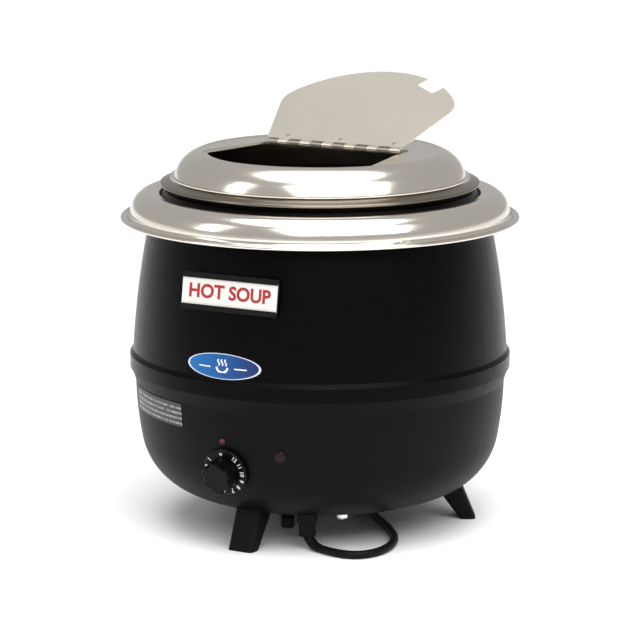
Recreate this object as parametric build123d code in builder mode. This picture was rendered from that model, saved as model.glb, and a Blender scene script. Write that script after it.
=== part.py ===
from build123d import *
import os
from math import asin, atan2, cos, degrees, hypot, radians, sin, sqrt, tan

# Electric soup kettle, in millimetres. The origin is on the kettle's axis at the level of the
# feet, +Z is up and the front, with the thermostat knob and the menu card, faces -Y.
# Azimuths are counted from the front, positive towards +X.

os.makedirs("parts", exist_ok=True)

# ---------------------------------------------------------------- driving dimensions
foot_height = 28.0          # floor to the bowl's underside
bowl_rise = 109.5           # bowl's underside to the seam
shell_rise = 129.5          # seam to the underside of the rim ring's lip

bowl_widest_r = 160.7       # the bowl's side at its widest
bowl_side_r = 316.0         # radius of its side, in section
bowl_corner_r = 58.9        # radius of its lower corner, in section
bowl_widest_drop = 3.5      # how far the widest level lies below the seam
bowl_sheet = 1.0

shell_widest_r = 164.1      # the barrel curve of the upper shell, at its widest
shell_lip_r = 147.5         # and at the level of the rim ring's lip
shell_widest_drop = 30.5    # how far the barrel's widest level lies below the seam
shell_sheet = 1.0
bead_r = 165.4              # rolled bead that covers the bowl's rim
bead_height = 15.5
bead_slope = 3.5

rim_lip_r = 172.5           # rolled lip of the stainless ring
rim_hem_r = 1.3
rim_dome_r = 164.0          # outside of the ring's dome, above the lip
rim_inner_r = 138.6
rim_height = 24.3
rim_corner_r = 17.4
rim_slope = 13.0            # ring's inner edge slopes up to the dome by this angle
rim_sheet = 1.0

well_wall_r = 130.6         # inside of the water well
well_bottom_rise = 70.0     # bowl's underside to the underside of the well
well_corner_r = 25.0
well_neck_rise = 6.2        # raised edge that carries the pot
well_sheet = 1.0

pot_wall_r = 125.2          # inside of the pot
pot_water_gap = 9.5         # water space under the pot
pot_corner_r = 18.0
pot_flange_r = 139.6
pot_curl_r = 133.2
pot_mouth_r = 1.6           # bend from its wall to its flange
pot_sheet = 0.8

lid_lip_r = 129.0
lid_crest_r = 104.6
lid_dome_foot_r = 125.9
lid_dome_r = 28.5
lid_rise = 22.5             # underside of the lip to the crest
lid_sheet = 0.9
lid_recess = 0.8            # depth of the seat that the flap lies in
lid_crest_step = 0.8        # crest above the flat panel

hinge_y = 22.0              # hinge axis, behind the kettle's axis
hinge_length = 134.0
hinge_count = 12            # knuckles, both leaves together
knuckle_gap = 0.8
hinge_pin_r = 1.0
hinge_knuckle_r = 1.8
hinge_leaf_width = 14.0
hinge_leaf_sheet = 0.8
flap_sheet = 0.8
flap_r = 99.8
flap_open = 155.0           # degrees from closed, as it stands open
flap_rear_half = 67.4
flap_flare = 16.4           # its sides open out by this angle
flap_corner = 25.0
opening_rear_half = 66.0
opening_flare = 10.7
opening_corner = 8.0
notch_width = 24.0
notch_depth = 12.8
notch_corner = 1.5
notch_azimuth = 30.0
opening_r = 97.5

knob_tilt = -12.0           # the bowl's corner faces down by this angle at the knob
knob_skirt_r = 20.5
knob_grip_r = 13.8
knob_length = 19.5
spindle_r = 3.0

card_width = 90.0
card_height = 27.0
card_azimuth = 1.5          # the card sits a little to the right of the knob
card_level = 42.0           # card's centre below the rim ring's lip

cord_d = 7.0

# clearances
running = 0.05              # shafts and pins in their bores
slip = 0.3                  # between pieces that move past each other
nested = 0.2                # between pressings that sit in each other

# ---------------------------------------------------------------- levels that follow
z_bowl = foot_height
z_seam = z_bowl + bowl_rise
z_lip = z_seam + shell_rise
z_widest = z_seam - bowl_widest_drop
z_barrel = z_seam - shell_widest_drop
z_deck = z_lip + 18.2                       # top of the shell's inward flange
z_well_deck = z_deck + nested + well_sheet
z_neck = z_well_deck + well_neck_rise
z_well_under = z_bowl + well_bottom_rise
z_well_floor = z_well_under + well_sheet
z_pot_floor = z_well_floor + pot_water_gap
z_pot_edge = z_neck + 5.9                   # upper corner of the pot's flange
pot_flange_slope = 0.354
z_lid_lip = z_pot_edge + (pot_flange_r - lid_lip_r) * pot_flange_slope + 1.05
z_crest = z_lid_lip + lid_rise
z_panel = z_crest - lid_crest_step
z_seat = z_panel - lid_recess
z_hinge = z_seat + hinge_knuckle_r + nested

# radius of the barrel's side, in section
shell_draw = shell_widest_r - shell_lip_r
shell_curve_r = (shell_draw ** 2 + (z_lip - z_barrel) ** 2) / (2 * shell_draw)

# ---------------------------------------------------------------- bowl geometry
corner_z = z_bowl + bowl_corner_r
side_x = bowl_widest_r - bowl_side_r
tangent_angle = -degrees(asin((z_widest - corner_z) / (bowl_side_r - bowl_corner_r)))
corner_x = side_x + (bowl_side_r - bowl_corner_r) * cos(radians(tangent_angle))
bowl_rim_r = bead_r - shell_sheet - nested
z_flare = z_seam - 10.5
flare_angle = degrees(asin((z_flare - z_widest) / bowl_side_r))


def bowl_under(radius):
    """Level of the bowl's outside at a radius in its flat or its lower corner."""
    if radius <= corner_x:
        return z_bowl
    return corner_z - sqrt(bowl_corner_r ** 2 - (radius - corner_x) ** 2)


def bowl_side(z):
    """Outside radius of the bowl's side at a level."""
    return side_x + sqrt(bowl_side_r ** 2 - (z - z_widest) ** 2)


def barrel(z):
    """Outside radius of the upper shell at a level."""
    return shell_widest_r - shell_curve_r + sqrt(shell_curve_r ** 2 - (z - z_barrel) ** 2)


def facing(azimuth, radius, z, tilt):
    """Plane on the kettle's skin, facing outwards, with its local Y up the skin."""
    a = radians(azimuth)
    t = radians(tilt)
    return Plane(
        origin=(radius * sin(a), -radius * cos(a), z),
        x_dir=(cos(a), sin(a), 0),
        z_dir=(cos(t) * sin(a), -cos(t) * cos(a), sin(t)),
    )


def on_floor(radius, azimuth, z):
    """Point at a radius and an azimuth from the front."""
    a = radians(azimuth)
    return (radius * sin(a), -radius * cos(a), z)


def save(builder, node):
    """Label a finished piece and write it as a STEP file."""
    builder.part.label = node
    export_step(builder.part, f"parts/{node}.step")


# places on the bowl and on the shell
knob_plane = facing(
    0,
    corner_x + bowl_corner_r * cos(radians(knob_tilt)),
    corner_z + bowl_corner_r * sin(radians(knob_tilt)),
    knob_tilt,
)


def side_facing(azimuth, z):
    """Plane on the bowl's side at a level."""
    return facing(azimuth, bowl_side(z), z, degrees(asin((z - z_widest) / bowl_side_r)))


z_card = z_lip - card_level
card_tilt = degrees(asin((z_card - z_barrel) / shell_curve_r))
card_plane = facing(card_azimuth, barrel(z_card), z_card, card_tilt)
rivet_x = 12.0              # the card's plate touches the barrel here
rivet_r = 1.6
power_lamp_plane = side_facing(18.0, z_seam - 46.0)
pointer_lamp_plane = side_facing(-0.7, z_seam - 37.5)
power_lens_r = 4.9
pointer_lens_r = 2.6
lamp_bezel = 1.1            # width of a lamp's bezel around its lens
lamp_wall = 0.4             # wall of its barrel
bushing_r = 4.8
through = 24.0              # depth of a hole that only has to pass a sheet

foot_azimuths = [0, 120, 240]
foot_screw_reach = 113.0
foot_screw_r = 2.5
tie_azimuths = [40.6, 160.6, 280.6]
tie_reach = 101.0
tie_r = 3.0
relief_azimuth = 24.4
relief_reach = 109.1
relief_neck_r = 5.5
cutout_azimuth = 11.8
cutout_reach = 88.0
cutout_r = 5.0

# ---------------------------------------------------------------- lower bowl


def bowl_skin(inset):
    """Section of one skin of the bowl, from the axis to the top of its rim."""
    base = Line((0, z_bowl + inset), (corner_x, z_bowl + inset))
    corner = CenterArc((corner_x, corner_z), bowl_corner_r - inset, -90, 90 + tangent_angle)
    side = CenterArc((side_x, z_widest), bowl_side_r - inset, tangent_angle, flare_angle - tangent_angle)
    flare = Line(side @ 1, (bowl_rim_r - inset, z_seam + 0.7))
    rim = Line(flare @ 1, (bowl_rim_r - inset, z_seam + 11.0))
    return base @ 0, rim @ 1


with BuildPart() as bowl_envelope:
    with BuildSketch(Plane.XZ):
        with BuildLine():
            low, top = bowl_skin(0)
            Line(top, (0, top.Y))
            Line((0, top.Y), low)
        make_face()
    revolve(axis=Axis.Z)

with BuildPart() as lower_bowl:
    with BuildSketch(Plane.XZ):
        with BuildLine():
            low_out, top_out = bowl_skin(0)
            low_in, top_in = bowl_skin(bowl_sheet)
            Line(low_out, low_in)
            Line(top_out, top_in)
        make_face()
    revolve(axis=Axis.Z)
    with Locations(knob_plane.offset(through / 2)):
        Hole(bushing_r + nested, depth=through)
    with Locations(power_lamp_plane.offset(through / 2)):
        Hole(power_lens_r + lamp_wall + nested, depth=through)
    with Locations(pointer_lamp_plane.offset(through / 2)):
        Hole(pointer_lens_r + lamp_wall + nested, depth=through)
    with Locations(*[on_floor(foot_screw_reach, a, z_bowl + through / 2) for a in foot_azimuths]):
        Hole(foot_screw_r + nested, depth=through)
    with Locations(*[on_floor(tie_reach, a, z_bowl + through / 2) for a in tie_azimuths]):
        Hole(tie_r + nested, depth=through)
    with Locations(on_floor(relief_reach, relief_azimuth, z_bowl + through / 2)):
        Hole(relief_neck_r + nested, depth=through)
    with Locations(on_floor(cutout_reach, cutout_azimuth, z_bowl + through / 2)):
        Hole(cutout_r + nested, depth=through)
save(lower_bowl, "lower_bowl")

# ---------------------------------------------------------------- upper shell
# A painted steel barrel. Its lower edge is rolled out into a bead over the bowl's rim and its
# upper edge is turned in under the well's deck.
shell_flange_r = 137.6
z_bead_low = z_seam + 1.0
z_bead_high = z_bead_low + bead_height - bead_slope
z_barrel_low = z_bead_low + bead_height


def shell_skin(inset, z_end):
    """Section of one skin of the upper shell, moved inwards by inset."""
    z_mid = (z_barrel_low + z_end) / 2
    bead = Line((bead_r - inset, z_bead_low), (bead_r - inset, z_bead_high))
    slope = Line(bead @ 1, (barrel(z_barrel_low) - inset, z_barrel_low))
    side = ThreePointArc(
        slope @ 1, (barrel(z_mid) - inset, z_mid), (barrel(z_end) - inset, z_end)
    )
    flange = Line(side @ 1, (shell_flange_r, z_end))
    return bead @ 0, flange @ 1


with BuildPart() as upper_shell:
    with BuildSketch(Plane.XZ):
        with BuildLine():
            low_out, top_out = shell_skin(0, z_deck)
            low_in, top_in = shell_skin(shell_sheet, z_deck - shell_sheet)
            Line(low_out, low_in)
            Line(top_out, top_in)
        make_face()
    revolve(axis=Axis.Z)
    top_edges = upper_shell.edges().filter_by(GeomType.CIRCLE).group_by(Axis.Z)[-1]
    fillet(top_edges.sort_by(SortBy.RADIUS)[-1], 2.5)
    with BuildSketch(card_plane.offset(-through / 2)):
        with GridLocations(2 * rivet_x, 0, 2, 1):
            Circle(rivet_r)
    extrude(amount=through, mode=Mode.SUBTRACT)
save(upper_shell, "upper_shell")

# ---------------------------------------------------------------- rim ring
# Stainless dome that hides the joint of the shell and the well, with a hemmed lip.
z_rim_top = z_lip + rim_height


def rim_slope_z(radius):
    """Level of the ring's sloping inner edge, which runs on into the dome."""
    rise = (radius - rim_dome_r + rim_corner_r) * tan(radians(rim_slope))
    return z_rim_top - rim_corner_r + rim_corner_r / cos(radians(rim_slope)) + rise


with BuildPart() as rim_ring:
    with BuildSketch(Plane.XZ):
        with BuildLine():
            FilletPolyline(
                (rim_inner_r, z_well_deck + nested),
                (rim_inner_r, rim_slope_z(rim_inner_r)),
                (rim_dome_r, rim_slope_z(rim_dome_r)),
                (rim_dome_r, z_lip + rim_hem_r + rim_sheet / 2),
                (rim_lip_r - rim_hem_r, z_lip + rim_hem_r + rim_sheet / 2),
                radius=[1.5, rim_corner_r, 3.5],
            )
            offset(amount=rim_sheet, side=Side.RIGHT)
        make_face()
        with Locations((rim_lip_r - rim_hem_r, z_lip + rim_hem_r)):
            Circle(rim_hem_r)
    revolve(axis=Axis.Z)
save(rim_ring, "rim_ring")

# A bead of sealant inside the ring bonds it to the well's deck.
with BuildPart() as rim_seal:
    with BuildSketch(Plane.XZ):
        with Locations((rim_inner_r + rim_sheet, z_well_deck)):
            Rectangle(3.0, 2.2, align=(Align.MIN, Align.MIN))
    revolve(axis=Axis.Z)
save(rim_seal, "rim_seal")

# ---------------------------------------------------------------- water well
with BuildPart() as water_well:
    with BuildSketch(Plane.XZ):
        with BuildLine():
            FilletPolyline(
                (barrel(z_deck) + 1.5, z_well_deck),
                (rim_inner_r - 0.2, z_well_deck),
                (well_wall_r + 3.2, z_neck),
                (well_wall_r, z_neck),
                (well_wall_r, z_well_floor),
                (0, z_well_floor),
                radius=[1.5, 1.5, 1.4, well_corner_r],
            )
            offset(amount=well_sheet, side=Side.LEFT)
        make_face()
    revolve(axis=Axis.Z)
save(water_well, "water_well")

# Three studs welded under the well pass through the bowl; domed nuts under the bowl clamp
# the ring, the well, the shell and the bowl together.
tie_nut_height = 4.2
tie_nut_flat = 4.5          # half across the flats
tie_nut_dome = 1.4
tie_end = z_bowl - 2.8
with BuildPart() as tie_studs:
    with BuildSketch(Plane.XY.offset(tie_end)):
        with Locations(*[on_floor(tie_reach, a, 0)[:2] for a in tie_azimuths]):
            Circle(tie_r)
    extrude(amount=z_well_under - tie_end)
save(tie_studs, "tie_studs")

with BuildPart() as tie_nuts:
    with BuildSketch(Plane.XY.offset(z_bowl - tie_nut_height)):
        with Locations(*[on_floor(tie_reach, a, 0)[:2] for a in tie_azimuths]):
            RegularPolygon(tie_nut_flat, 6, major_radius=False)
    extrude(amount=3 * tie_nut_height)
    chamfer(tie_nuts.edges().group_by(Axis.Z)[0], tie_nut_dome)
    add(bowl_envelope.part, mode=Mode.SUBTRACT)
    with BuildSketch(Plane.XY.offset(tie_end)):
        with Locations(*[on_floor(tie_reach, a, 0)[:2] for a in tie_azimuths]):
            Circle(tie_r)
    extrude(amount=3 * tie_nut_height, mode=Mode.SUBTRACT)
save(tie_nuts, "tie_nuts")

# ---------------------------------------------------------------- soup pot
with BuildPart() as soup_pot:
    with BuildSketch(Plane.XZ):
        with BuildLine():
            FilletPolyline(
                (0, z_pot_floor),
                (pot_wall_r, z_pot_floor),
                (pot_wall_r, z_pot_edge + (pot_flange_r - pot_wall_r) * pot_flange_slope),
                (pot_flange_r, z_pot_edge),
                (pot_curl_r, z_neck + slip + 0.05),
                radius=[pot_corner_r, pot_mouth_r, 1.5],
            )
            offset(amount=pot_sheet, side=Side.RIGHT)
        make_face()
    revolve(axis=Axis.Z)
save(soup_pot, "soup_pot")

# ---------------------------------------------------------------- lid
z_dome_foot = z_lid_lip + 1.4


def arc_centre(start, end, radius):
    """Centre of the arc that bulges up and outwards between two points of a section."""
    dx, dz = end[0] - start[0], end[1] - start[1]
    chord = hypot(dx, dz)
    depth = sqrt(radius ** 2 - chord ** 2 / 4)
    return (
        (start[0] + end[0]) / 2 + dz / chord * depth,
        (start[1] + end[1]) / 2 - dx / chord * depth,
    )


dome_centre = arc_centre((lid_crest_r, z_crest), (lid_dome_foot_r, z_dome_foot), lid_dome_r)
dome_start = degrees(atan2(z_crest - dome_centre[1], lid_crest_r - dome_centre[0]))
dome_end = degrees(atan2(z_dome_foot - dome_centre[1], lid_dome_foot_r - dome_centre[0]))


def lid_skin(inset):
    """Section of one skin of the lid, from the axis to the lip."""
    dome = CenterArc(dome_centre, lid_dome_r - inset, dome_start, dome_end - dome_start)
    panel = Line((0, z_panel - inset), ((dome @ 0).X - 1.6, z_panel - inset))
    Line(panel @ 1, dome @ 0)
    lip_start = Line(dome @ 1, ((dome @ 1).X, z_lid_lip + lid_sheet - inset))
    lip = Line(lip_start @ 1, (lid_lip_r, z_lid_lip + lid_sheet - inset))
    return panel @ 0, lip @ 1


def hinge_plane(opened):
    """Plane through the hinge axis, with its local Y along the flap opened by an angle."""
    a = radians(opened)
    return Plane(origin=(0, hinge_y, z_hinge), x_dir=(1, 0, 0), z_dir=(0, -sin(a), -cos(a)))


closed_plane = hinge_plane(0)
flap_plane = hinge_plane(flap_open)


def fan_outline(radius, rear, rear_half, flare, corner):
    """Closed outline in a hinge plane: straight rear, two flaring sides and a round front.

    The front is a circle about the kettle's axis, and each corner arc touches it and a side.
    """
    f = radians(flare)
    reach = radius - corner
    inset = rear_half * cos(f) - (rear - hinge_y) * sin(f) - corner
    along = sqrt(reach ** 2 - inset ** 2)
    cx = inset * cos(f) + along * sin(f)
    cy = along * cos(f) - inset * sin(f)
    turn = (atan2(cy, cx) - f) / 2
    side_end = (cx + corner * cos(f), cy - corner * sin(f) + hinge_y)
    bend = (cx + corner * cos(turn), cy + corner * sin(turn) + hinge_y)
    front = (cx * radius / reach, cy * radius / reach + hinge_y)
    Line((-rear_half, rear), (rear_half, rear))
    Line((rear_half, rear), side_end)
    ThreePointArc(side_end, bend, front)
    ThreePointArc(front, (0, hinge_y + radius), (-front[0], front[1]))
    ThreePointArc((-front[0], front[1]), (-bend[0], bend[1]), (-side_end[0], side_end[1]))
    Line((-side_end[0], side_end[1]), (-rear_half, rear))


flap_rear = hinge_knuckle_r + 1.6
seat_gap = 1.5              # between the flap and the step of its seat
seat_rear = -2.2            # the seat reaches behind the hinge axis, under the knuckles
seat_lap = 1.0              # the seat's plate laps this far under the panel
opening_rear = hinge_knuckle_r + 1.2


def seat_half(rear, grow):
    """Half-width of the flap's seat at its rear edge."""
    slope = tan(radians(flap_flare))
    return flap_rear_half + grow / cos(radians(flap_flare)) + (rear - flap_rear) * slope


with BuildPart() as lid_shell:
    with BuildSketch(Plane.XZ):
        with BuildLine():
            axis_out, lip_out = lid_skin(0)
            axis_in, lip_in = lid_skin(lid_sheet)
            Line(axis_out, axis_in)
            Line(lip_out, lip_in)
        make_face()
    revolve(axis=Axis.Z)
    with BuildSketch(closed_plane):
        with BuildLine():
            fan_outline(
                flap_r + seat_gap, seat_rear, seat_half(seat_rear, seat_gap), flap_flare,
                flap_corner + seat_gap,
            )
        make_face()
    extrude(amount=6, both=True, mode=Mode.SUBTRACT)
    with BuildSketch(Plane(origin=(0, hinge_y, z_seat), x_dir=(1, 0, 0), z_dir=(0, 0, -1))):
        with BuildLine():
            fan_outline(
                flap_r + seat_gap + seat_lap,
                seat_rear - seat_lap,
                seat_half(seat_rear - seat_lap, seat_gap + seat_lap),
                flap_flare,
                flap_corner + seat_gap + seat_lap,
            )
        make_face()
        with BuildLine():
            fan_outline(opening_r, opening_rear, opening_rear_half, opening_flare, opening_corner)
        make_face(mode=Mode.SUBTRACT)
    extrude(amount=lid_sheet)
save(lid_shell, "lid_shell")

# A ring welded under the dome keeps the lid centred in the pot.
locating_r = pot_wall_r - 1.4
locating_drop = 3.5         # below the edge of the pot's flange
locating_sheet = 0.8
z_locating = z_pot_edge - locating_drop


def dome_under(radius):
    """Level of the lid's underside in its dome."""
    return dome_centre[1] + sqrt((lid_dome_r - lid_sheet) ** 2 - (radius - dome_centre[0]) ** 2)


with BuildPart() as lid_locating_ring:
    with BuildSketch(Plane.XZ):
        with BuildLine():
            radii = [locating_r - locating_sheet, locating_r - locating_sheet / 2, locating_r]
            inner, middle, outer = [(radius, dome_under(radius)) for radius in radii]
            ThreePointArc(inner, middle, outer)
            Polyline(outer, (outer[0], z_locating), (inner[0], z_locating), inner)
        make_face()
    revolve(axis=Axis.Z)
save(lid_locating_ring, "lid_locating_ring")

# ---------------------------------------------------------------- hinge and flap
knuckle_pitch = hinge_length / hinge_count
leaf_start = 3.2            # both leaves start this far from the axis
leaf_tab = 1.2              # and their knuckles' tabs reach this far in
leaf_lift = 0.1


def knuckle_plane(index):
    """Plane across the hinge axis at the start of a knuckle, counted from -X."""
    start = -hinge_length / 2 + index * knuckle_pitch + knuckle_gap / 2
    return Plane(origin=(start, hinge_y, z_hinge), x_dir=(0, 1, 0), z_dir=(1, 0, 0))


knuckle_length = knuckle_pitch - knuckle_gap
pin_plane = Plane(origin=(-hinge_length / 2, hinge_y, z_hinge), x_dir=(0, 1, 0), z_dir=(1, 0, 0))

with BuildPart() as hinge_fixed_leaf:
    with BuildSketch(Plane(origin=(0, hinge_y, z_panel))):
        with Locations((0, leaf_start)):
            Rectangle(hinge_length, hinge_leaf_width - leaf_start, align=(Align.CENTER, Align.MIN))
        for index in range(0, hinge_count, 2):
            with Locations((knuckle_plane(index).origin.X, leaf_tab)):
                Rectangle(knuckle_length, leaf_start, align=(Align.MIN, Align.MIN))
    extrude(amount=hinge_leaf_sheet)
    for index in range(0, hinge_count, 2):
        with BuildSketch(knuckle_plane(index)):
            Circle(hinge_knuckle_r)
        extrude(amount=knuckle_length)
    with BuildSketch(pin_plane):
        Circle(hinge_pin_r)
    extrude(amount=hinge_length, mode=Mode.SUBTRACT)
save(hinge_fixed_leaf, "hinge_fixed_leaf")

with BuildPart() as hinge_moving_leaf:
    with BuildSketch(flap_plane.offset(leaf_lift)):
        with Locations((0, leaf_start)):
            Rectangle(hinge_length, hinge_leaf_width - leaf_start, align=(Align.CENTER, Align.MIN))
        for index in range(1, hinge_count, 2):
            with Locations((knuckle_plane(index).origin.X, leaf_tab)):
                Rectangle(knuckle_length, leaf_start, align=(Align.MIN, Align.MIN))
    extrude(amount=hinge_leaf_sheet)
    for index in range(1, hinge_count, 2):
        with BuildSketch(knuckle_plane(index)):
            Circle(hinge_knuckle_r)
        extrude(amount=knuckle_length)
    with BuildSketch(pin_plane):
        Circle(hinge_pin_r + running)
    extrude(amount=hinge_length, mode=Mode.SUBTRACT)
save(hinge_moving_leaf, "hinge_moving_leaf")

with BuildPart() as hinge_pin:
    with BuildSketch(pin_plane):
        Circle(hinge_pin_r)
    extrude(amount=hinge_length)
save(hinge_pin, "hinge_pin")

with BuildPart() as flap:
    with BuildSketch(flap_plane.offset(leaf_lift + hinge_leaf_sheet)):
        with BuildLine():
            fan_outline(flap_r, flap_rear, flap_rear_half, flap_flare, flap_corner)
        make_face()
        with Locations(Location((0, hinge_y, 0), (0, 0, 90 - notch_azimuth))):
            with Locations((flap_r, 0)):
                RectangleRounded(2 * notch_depth, notch_width, notch_corner, mode=Mode.SUBTRACT)
    extrude(amount=flap_sheet)
save(flap, "flap")

# ---------------------------------------------------------------- thermostat and knob
body_front = -6.0           # levels along the knob's axis, from the bowl's skin outwards
body_depth = 22.0
body_width = 34.0
nut_height = 2.4
bushing_end = 3.2
knob_gap = 1.0
skirt_height = 3.2
grip_start = knob_gap + skirt_height
bore_end = knob_length - 3.0

with BuildPart() as thermostat_body:
    with BuildSketch(knob_plane.offset(body_front)):
        RectangleRounded(body_width, body_width, 3.0)
    extrude(amount=-body_depth)
    with BuildSketch(knob_plane.offset(body_front)):
        Circle(bushing_r + 2.2)
    extrude(amount=-body_front - bowl_sheet - 0.5)
    with BuildSketch(knob_plane.offset(body_front)):
        Circle(bushing_r)
    extrude(amount=bushing_end - body_front)
    with BuildSketch(knob_plane.offset(body_front + 1.0)):
        Circle(spindle_r + running)
    extrude(amount=bushing_end - body_front, mode=Mode.SUBTRACT)
save(thermostat_body, "thermostat_body")

with BuildPart() as thermostat_nut:
    with BuildSketch(knob_plane.offset(-1.0)):
        RegularPolygon(7.0, 6, major_radius=False)
    extrude(amount=1.0 + nut_height)
    add(bowl_envelope.part, mode=Mode.SUBTRACT)
    with BuildSketch(knob_plane.offset(-2.0)):
        Circle(bushing_r)
    extrude(amount=8, mode=Mode.SUBTRACT)
save(thermostat_nut, "thermostat_nut")

with BuildPart() as thermostat_spindle:
    with BuildSketch(knob_plane.offset(body_front + 1.0 + slip)):
        Circle(spindle_r)
    extrude(amount=bore_end - body_front - 1.0 - slip)
save(thermostat_spindle, "thermostat_spindle")

flute_r = 6.0
flute_depth = 2.4
skirt_chamfer = 1.0
grip_fillet = 1.2
skirt_hollow_r = 10.0
skirt_web = 0.6
knob_axis = Axis(knob_plane.origin, knob_plane.z_dir)
with BuildPart() as control_knob:
    with BuildSketch(knob_plane.offset(knob_gap)):
        Circle(knob_skirt_r)
    extrude(amount=skirt_height)
    chamfer(control_knob.faces().sort_by(knob_axis)[-1].edges(), skirt_chamfer)
    with BuildSketch(knob_plane.offset(grip_start)):
        Circle(knob_grip_r)
        with PolarLocations(knob_grip_r + flute_r - flute_depth, 6):
            Circle(flute_r, mode=Mode.SUBTRACT)
    extrude(amount=knob_length - grip_start)
    fillet(control_knob.faces().sort_by(knob_axis)[-1].edges(), grip_fillet)
    with BuildSketch(knob_plane.offset(knob_gap)):
        Circle(skirt_hollow_r)
    extrude(amount=skirt_height - skirt_web, mode=Mode.SUBTRACT)
    with BuildSketch(knob_plane.offset(knob_gap)):
        Circle(spindle_r + running)
    extrude(amount=bore_end - knob_gap, mode=Mode.SUBTRACT)
save(control_knob, "control_knob")

# The bulb lies under the well; its capillary runs to the back of the thermostat.
bulb_r = 3.0
bulb_half = 30.0
bulb_y = -95.0
bulb_z = z_well_under - bulb_r - 0.1
capillary_r = 1.0


def behind_knob(x, depth):
    """Point behind the bowl's skin on the knob's axis, moved sideways by x."""
    p = knob_plane.origin - knob_plane.z_dir * depth
    return (x, p.Y, p.Z)


capillary_end = behind_knob(4, body_depth - body_front)
capillary_bend = behind_knob(4, body_depth - body_front + 7)

with BuildPart() as thermostat_bulb:
    with BuildSketch(Plane(origin=(-bulb_half, bulb_y, bulb_z), x_dir=(0, 1, 0), z_dir=(1, 0, 0))):
        Circle(bulb_r)
    extrude(amount=2 * bulb_half)
    with BuildLine() as capillary:
        FilletPolyline(
            (bulb_half, bulb_y, bulb_z),
            (bulb_half + 12, bulb_y, bulb_z),
            (bulb_half + 13, bulb_y - 16, bulb_z - 9),
            (14, -112, bulb_z - 13),
            capillary_bend,
            capillary_end,
            radius=[4, 4, 4, 2.5],
        )
    with BuildSketch(Plane(origin=capillary.line @ 0, z_dir=capillary.line % 0)):
        Circle(capillary_r)
    sweep()
save(thermostat_bulb, "thermostat_bulb")

# ---------------------------------------------------------------- lamps


def lamp_parts(lens_r):
    """Radius of a lamp's bezel and of its barrel."""
    return lens_r + lamp_bezel, lens_r + lamp_wall


with BuildPart() as power_lamp_body:
    bezel_r, barrel_r = lamp_parts(power_lens_r)
    with BuildSketch(power_lamp_plane.offset(-1)):
        Circle(bezel_r)
    extrude(amount=1.8)
    add(bowl_envelope.part, mode=Mode.SUBTRACT)
    with BuildSketch(power_lamp_plane.offset(-25)):
        Circle(barrel_r)
    extrude(amount=25.5)
    with BuildSketch(power_lamp_plane.offset(-2)):
        Circle(power_lens_r)
    extrude(amount=4, mode=Mode.SUBTRACT)
save(power_lamp_body, "power_lamp_body")

with BuildPart() as power_lamp_lens:
    with BuildSketch(power_lamp_plane.offset(-2)):
        Circle(power_lens_r)
    extrude(amount=4.4)
    lens_axis = Axis(power_lamp_plane.origin, power_lamp_plane.z_dir)
    fillet(power_lamp_lens.edges().sort_by(lens_axis)[-1], 1.5)
save(power_lamp_lens, "power_lamp_lens")

with BuildPart() as pointer_lamp_body:
    bezel_r, barrel_r = lamp_parts(pointer_lens_r)
    with BuildSketch(pointer_lamp_plane.offset(-1)):
        Circle(bezel_r)
    extrude(amount=1.6)
    add(bowl_envelope.part, mode=Mode.SUBTRACT)
    with BuildSketch(pointer_lamp_plane.offset(-15)):
        Circle(barrel_r)
    extrude(amount=15.4)
    with BuildSketch(pointer_lamp_plane.offset(-2)):
        Circle(pointer_lens_r)
    extrude(amount=4, mode=Mode.SUBTRACT)
save(pointer_lamp_body, "pointer_lamp_body")

with BuildPart() as pointer_lamp_lens:
    with BuildSketch(pointer_lamp_plane.offset(-2)):
        Circle(pointer_lens_r)
    extrude(amount=3.6)
    lens_axis = Axis(pointer_lamp_plane.origin, pointer_lamp_plane.z_dir)
    fillet(pointer_lamp_lens.edges().sort_by(lens_axis)[-1], 1.0)
save(pointer_lamp_lens, "pointer_lamp_lens")

# ---------------------------------------------------------------- feet
foot_names = ["foot_front", "foot_right", "foot_left"]
foot_pad_reach = 129.8      # middle of the pad on the floor
foot_pad_length = 14.0
foot_pad_width = 24.5
foot_top_reach = 109.0
foot_top_length = 26.0
foot_top_width = 25.0
foot_top_z = z_bowl + 8.0
foot_edge = 4.5
screw_end = z_bowl - 7.5


def radial_plane(reach, azimuth, z):
    """Level plane at a radius and an azimuth, with its local X pointing outwards."""
    a = radians(azimuth)
    return Plane(origin=on_floor(reach, azimuth, z), x_dir=(sin(a), -cos(a), 0), z_dir=(0, 0, 1))


for name, azimuth in zip(foot_names, foot_azimuths):
    with BuildPart() as foot:
        with BuildSketch(radial_plane(foot_pad_reach, azimuth, 0)):
            RectangleRounded(foot_pad_length, foot_pad_width, foot_edge)
        with BuildSketch(radial_plane(foot_top_reach, azimuth, foot_top_z)):
            RectangleRounded(foot_top_length, foot_top_width, foot_edge)
        loft()
        add(bowl_envelope.part, mode=Mode.SUBTRACT)
        with BuildSketch(radial_plane(foot_screw_reach, azimuth, screw_end)):
            Circle(foot_screw_r)
        extrude(amount=20, mode=Mode.SUBTRACT)
    save(foot, name)

screw_head_r = 4.5
screw_head = 2.8
screw_seat = corner_z - sqrt(
    (bowl_corner_r - bowl_sheet) ** 2 - (foot_screw_reach + screw_head_r - corner_x) ** 2
)
with BuildPart() as foot_screws:
    for azimuth in foot_azimuths:
        with BuildSketch(radial_plane(foot_screw_reach, azimuth, screw_end)):
            Circle(foot_screw_r)
        extrude(amount=screw_seat - screw_end)
        with BuildSketch(radial_plane(foot_screw_reach, azimuth, screw_seat)):
            Circle(screw_head_r)
        extrude(amount=screw_head)
save(foot_screws, "foot_screws")

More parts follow.
